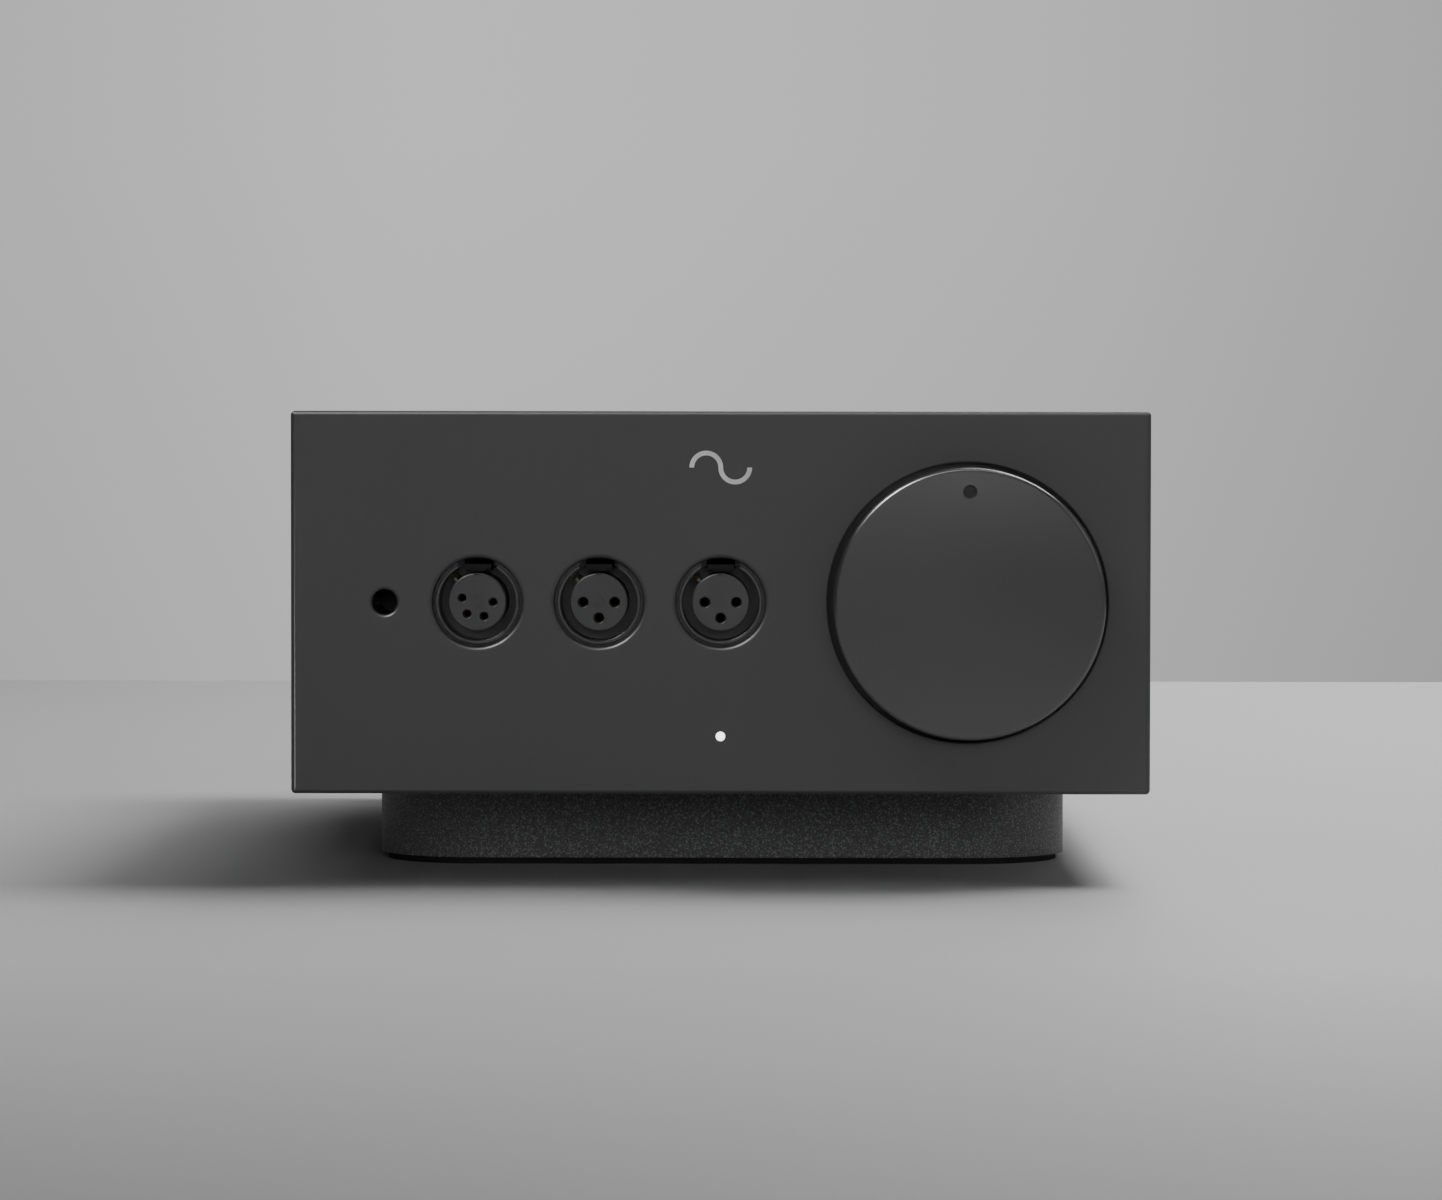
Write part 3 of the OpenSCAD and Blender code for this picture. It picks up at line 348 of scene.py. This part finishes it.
def own_finishes():
    """Finishes of single nodes that sit deep in a socket, where their slot's finish would shine: darker
    copies, with painted shade.
    """
    shaded_front_contacts = metal_painted_dark_in_tube("contact_gold_front_painted_shade", (0.83, 0.6, 0.25), 0.3, FACE_Y - 1 * MM)
    # painted shade: the latch plastic is near black for the shade deep in the socket's slot
    latch = moulded("latch_plastic_painted_shade", (0.012, 0.012, 0.0125), 0.6)
    return {
        "xlr4_contacts": shaded_front_contacts,
        "xlr3_left_contacts": shaded_front_contacts,
        "xlr3_centre_contacts": shaded_front_contacts,
        "xlr4_latch": latch,
        "xlr3_left_latch": latch,
        "xlr3_centre_latch": latch,
    }


def dress_frame(finishes):
    """Gives each CAD node its own finish, or the finish of its slot in the record."""
    special = own_finishes()
    for part in frame["record"]["subparts"]:
        thing = frame["nodes"][part["node"]]
        finish = special.get(part["node"], finishes[part["material_slot"]])
        for index in range(max(1, len(thing.material_slots))):
            if not thing.material_slots:
                thing.data.materials.append(finish)
            thing.material_slots[index].link = "OBJECT"
            thing.material_slots[index].material = finish


# ---------- stage and light ----------

def make_stage():
    """A pale table with painted shade, darker towards the camera, which ends at an edge on every side.
    """
    back_edge, side_edge, front_edge = 1.011, 1.25, -1.2
    mesh = bpy.data.meshes.new("table_top")
    corners = [(-side_edge, front_edge, 0), (side_edge, front_edge, 0),
               (side_edge, back_edge, 0), (-side_edge, back_edge, 0)]
    mesh.from_pydata(corners, [], [(0, 1, 2, 3)])
    table = bpy.data.objects.new("table_top", mesh)
    bpy.context.scene.collection.objects.link(table)
    paint = Recipe("table_paint", (0.5, 0.5, 0.5), 0.7, spec=0.25)
    grain = paint.noise(900, detail=4)
    split = paint.node("ShaderNodeSeparateXYZ")
    paint.link(paint.place, split.inputs["Vector"])
    forward = paint.ranged(split.outputs["Y"], -0.8, 0.0, 0.0, 1.0)
    grain_and_painted_falloff = paint.node("ShaderNodeMath", operation="MULTIPLY_ADD")
    paint.link(grain, grain_and_painted_falloff.inputs[0])
    grain_and_painted_falloff.inputs[1].default_value = 0.03
    paint.link(forward, grain_and_painted_falloff.inputs[2])
    # painted light and shade: the ramp darkens the table towards the camera, for light that falls off
    # there, and lifts it a little just in front of the object
    paint.tint(grain_and_painted_falloff.outputs["Value"], [(0.0, (0.24, 0.24, 0.24)), (0.14, (0.32, 0.32, 0.32)),
                                        (0.34, (0.46, 0.46, 0.46)), (0.56, (0.58, 0.58, 0.58)),
                                        (0.75, (0.54, 0.54, 0.54)), (1.0, (0.5, 0.5, 0.5))])
    paint.bump(grain, 0.1, 0.00005)
    mesh.materials.append(paint.material)


def make_world():
    """Grey surroundings: a wall with painted light, a little brighter behind the object than beside it.
    """
    world = bpy.data.worlds.new("studio")
    bpy.context.scene.world = world
    world.use_nodes = True
    tree = world.node_tree
    ground = tree.nodes["Background"]
    ground.inputs["Color"].default_value = (1, 1, 1, 1)
    ground.inputs["Strength"].default_value = 0.035
    seen = tree.nodes.new("ShaderNodeBackground")
    direction = tree.nodes.new("ShaderNodeTexCoord").outputs["Generated"]
    split = tree.nodes.new("ShaderNodeSeparateXYZ")
    tree.links.new(direction, split.inputs["Vector"])
    across = tree.nodes.new("ShaderNodeValToRGB")
    across.color_ramp.interpolation = "B_SPLINE"
    # painted light: the seen wall is brightest near its middle, falls off to each side, and dims
    # slightly low down
    greys = [(0.0, 0.52), (0.16, 0.575), (0.26, 0.64), (0.34, 0.70), (0.50, 0.65), (0.64, 0.60),
             (0.74, 0.535), (0.85, 0.46), (1.0, 0.40)]
    fill_ramp(across, [(position, (grey, grey, grey)) for position, grey in greys])
    tree.links.new(map_range(tree, split.outputs["X"], -0.2, 0.2, 0, 1), across.inputs["Fac"])
    tree.links.new(across.outputs["Color"], seen.inputs["Color"])
    tree.links.new(map_range(tree, split.outputs["Z"], -0.05, 0.06, 0.88, 1), seen.inputs["Strength"])
    path = tree.nodes.new("ShaderNodeLightPath")
    mix = tree.nodes.new("ShaderNodeMixShader")
    tree.links.new(path.outputs["Is Camera Ray"], mix.inputs["Fac"])
    tree.links.new(ground.outputs["Background"], mix.inputs[1])
    tree.links.new(seen.outputs["Background"], mix.inputs[2])
    tree.links.new(mix.outputs["Shader"], tree.nodes["World Output"].inputs["Surface"])


LIGHT_CENTRE = Vector((0, 0, 0.07))


def studio_lamp(name, elevation, azimuth, size, power, distance=1.6):
    """A soft light that looks at the object. Azimuth 0 is its right, and 90 is its back."""
    up = math.radians(elevation)
    round_ = math.radians(azimuth)
    away = Vector((math.cos(up) * math.cos(round_), math.cos(up) * math.sin(round_), math.sin(up)))
    data = bpy.data.lights.new(name, "AREA")
    data.shape = "RECTANGLE"
    data.size, data.size_y = size
    data.energy = power
    lamp = bpy.data.objects.new(name, data)
    lamp.location = LIGHT_CENTRE + away * distance
    lamp.rotation_mode = "QUATERNION"
    lamp.rotation_quaternion = away.to_track_quat("Z", "Y")
    lamp.visible_camera = False
    bpy.context.scene.collection.objects.link(lamp)
    return lamp


def make_lights():
    """Keys from the back right, a weak front, and lamps that only show as reflections."""
    studio_lamp("key_right", 60, 12, (0.7, 0.7), 20)
    studio_lamp("key_back", 60, 60, (0.7, 0.7), 9)
    studio_lamp("low_back", 20, 78, (0.7, 0.7), 7.5)
    studio_lamp("front_right", 20, 325, (0.7, 0.7), 1.9)
    front_low = studio_lamp("front_low", 8, 276, (0.7, 0.3), 4.8)
    front_low.visible_glossy = False
    for name, elevation, azimuth, size, power in (("front_sheen", 20, 270, (0.7, 0.7), 0.5),
                                                  ("knob_sheen", 9, 270, (0.9, 0.2), 0.9),
                                                  ("rim_left", 46, 230, (0.5, 0.5), 45),
                                                  ("rim_strip", 58, 266, (1.3, 0.26), 8)):
        studio_lamp(name, elevation, azimuth, size, power).visible_diffuse = False


# ---------- scene ----------


make_camera()
dress_frame(make_finishes())
make_stage()
make_world()
make_lights()
